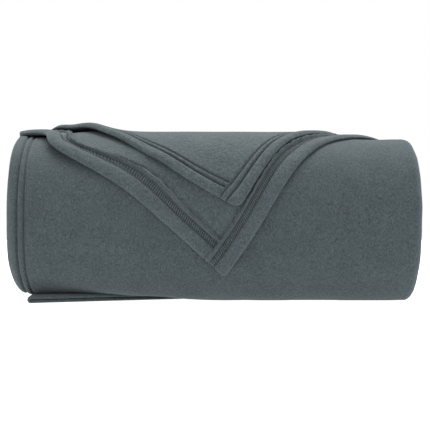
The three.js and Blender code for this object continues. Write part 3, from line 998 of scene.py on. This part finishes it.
def hem_point(flap, which, distance, along, raised):
    """A point on a flap's shown side, by its distance from a hem's edge and along that hem."""
    offset = distance * flap.size["hem"] / flap.square
    p, q = (along, offset) if which == "side" else (offset, along)
    x, run = flap.flat(p, q)
    top, _ = flap.shape(x, run, raised=raised)
    return top


def hem_length(flap, which, limit_run):
    """How far along a hem it is from the tip to a run."""
    heading = flap.side if which == "side" else flap.end
    return (limit_run - flap.tip[1]) / heading[1]


def flap_stitches(flap, which, start, end, pitch=STITCH_PITCH, share=STITCH_SHARE):
    """Both rows of a flap's hem, from a start to an end along it."""
    paths = []
    for row in (ROW_1, ROW_2):
        def at(values, arch, row=row):
            raised = np.where(arch > 0, 0.0004, 0.0)
            return hem_point(flap, which, np.full_like(values, row), values, raised)
        paths += row_of_stitches(start, end, at, pitch, share)
    return paths


def flap_ladder(flap, which, start, end):
    """The looper thread on a hem's back, slanting from row to row."""
    paths = []
    for i in range(int((end - start) / LADDER_PITCH)):
        first = start + i * LADDER_PITCH
        across = np.linspace(ROW_1 + 0.0005, ROW_2 - 0.0005, len(LADDER_RISE))
        lean = np.linspace(0, 0.7 * LADDER_PITCH, len(LADDER_RISE))
        paths.append(hem_point(flap, which, across, first + lean, LADDER_RISE))
    return paths


def build_flap_stitches():
    stretches = (("end", 0.001, hem_length(LOWER, "end", BEHIND)),
                 ("side", SIDE_START, hem_length(LOWER, "side", -0.008)))
    needles, loopers = [], []
    for stretch in stretches:
        needles += flap_stitches(LOWER, *stretch, pitch=LADDER_PITCH, share=0.55)
        loopers += flap_ladder(LOWER, *stretch)
    looper = tubes("lower_flap_looper_thread", loopers, THREAD)
    piece = tubes("lower_flap_stitches", needles)
    for part in (looper, piece):
        ahead(LOWER_BEND)
        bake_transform(part)
    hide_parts(*[n for n in frame["nodes"] if n.startswith("lower_flap")
                         and "stitch_row" in n])
    upper = []
    upper += flap_stitches(UPPER, "end", 0.001, hem_length(UPPER, "end", 0.002))
    upper += flap_stitches(UPPER, "side", SIDE_START, hem_length(UPPER, "side", 0.002))
    piece = tubes("upper_flap_stitches", upper)
    ahead(UPPER_BEND)
    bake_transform(piece)
    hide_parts(*[n for n in frame["nodes"] if n.startswith("upper_flap")
                         and "stitch_row" in n])
    rear = flap_stitches(UPPER, "end", hem_length(UPPER, "end", -0.002),
                         hem_length(UPPER, "end", 2 * BEHIND))
    piece = tubes("upper_flap_rear_stitches", rear)
    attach(piece, "roll")


# ------------------------------------------------------------------------------------------
# Camera, floor and light

CAMERA_DISTANCE = 1.30           # from the object's front
CAMERA_ELEVATION = math.radians(1.8)
AIM_HEIGHT = 0.0846
SEEN_WIDTH = 0.4042              # what the picture spans at the object's front
SENSOR_WIDTH = 36                # mm
FLOOR_HALF = 1.15
FLOOR_GREY = 0.55
FLOOR_GLOW = 1.0


def build_camera():
    data = bpy.data.cameras.new("camera")
    camera = bpy.data.objects.new("camera", data)
    bpy.context.scene.collection.objects.link(camera)
    front = cad_bounds[0][1]
    camera.location = (
        0.0,
        front - CAMERA_DISTANCE * math.cos(CAMERA_ELEVATION),
        AIM_HEIGHT + CAMERA_DISTANCE * math.sin(CAMERA_ELEVATION),
    )
    camera.rotation_euler = (math.radians(90) - CAMERA_ELEVATION, 0, 0)
    data.sensor_width = SENSOR_WIDTH
    data.lens = SENSOR_WIDTH * CAMERA_DISTANCE / SEEN_WIDTH
    data.dof.use_dof = False
    bpy.context.scene.camera = camera


def build_stage():
    """A pale floor that glows evenly, like a light table."""
    mesh = bpy.data.meshes.new("floor")
    half = FLOOR_HALF
    mesh.from_pydata([(-half, -half, 0), (half, -half, 0), (half, half, 0), (-half, half, 0)], [],
                     [(0, 1, 2, 3)])
    s = Shader("pale_floor")
    s.bsdf.inputs["Base Color"].default_value = (FLOOR_GREY, FLOOR_GREY, FLOOR_GREY, 1)
    s.bsdf.inputs["Emission Color"].default_value = (1, 1, 1, 1)
    s.bsdf.inputs["Emission Strength"].default_value = FLOOR_GLOW
    s.bsdf.inputs["Roughness"].default_value = 0.8
    floor = link("floor", mesh, s.material)


def area_light(name, place_at, turn, size, power):
    data = bpy.data.lights.new(name, "AREA")
    data.shape = "RECTANGLE"
    data.size, data.size_y = size
    data.energy = power
    light = bpy.data.objects.new(name, data)
    light.location = place_at
    light.rotation_euler = [math.radians(angle) for angle in turn]
    bpy.context.scene.collection.objects.link(light)


def build_light():
    world = bpy.data.worlds.new("studio")
    world.use_nodes = True
    world.node_tree.nodes["Background"].inputs["Color"].default_value = (1, 1, 1, 1)
    world.node_tree.nodes["Background"].inputs["Strength"].default_value = 1.0
    bpy.context.scene.world = world
    bpy.context.scene.view_settings.view_transform = "Standard"
    area_light("top_light", (0.0, 0.16, 1.7), (0, 0, 0), (1.6, 1.2), 42)


build_camera()
build_stage()
build_light()
build_inner_turns()
build_wrapped_plies()
build_second_ply()
build_face_ply()
build_lower_flap()
build_upper_flap()
build_face_stitches()
build_flap_stitches()
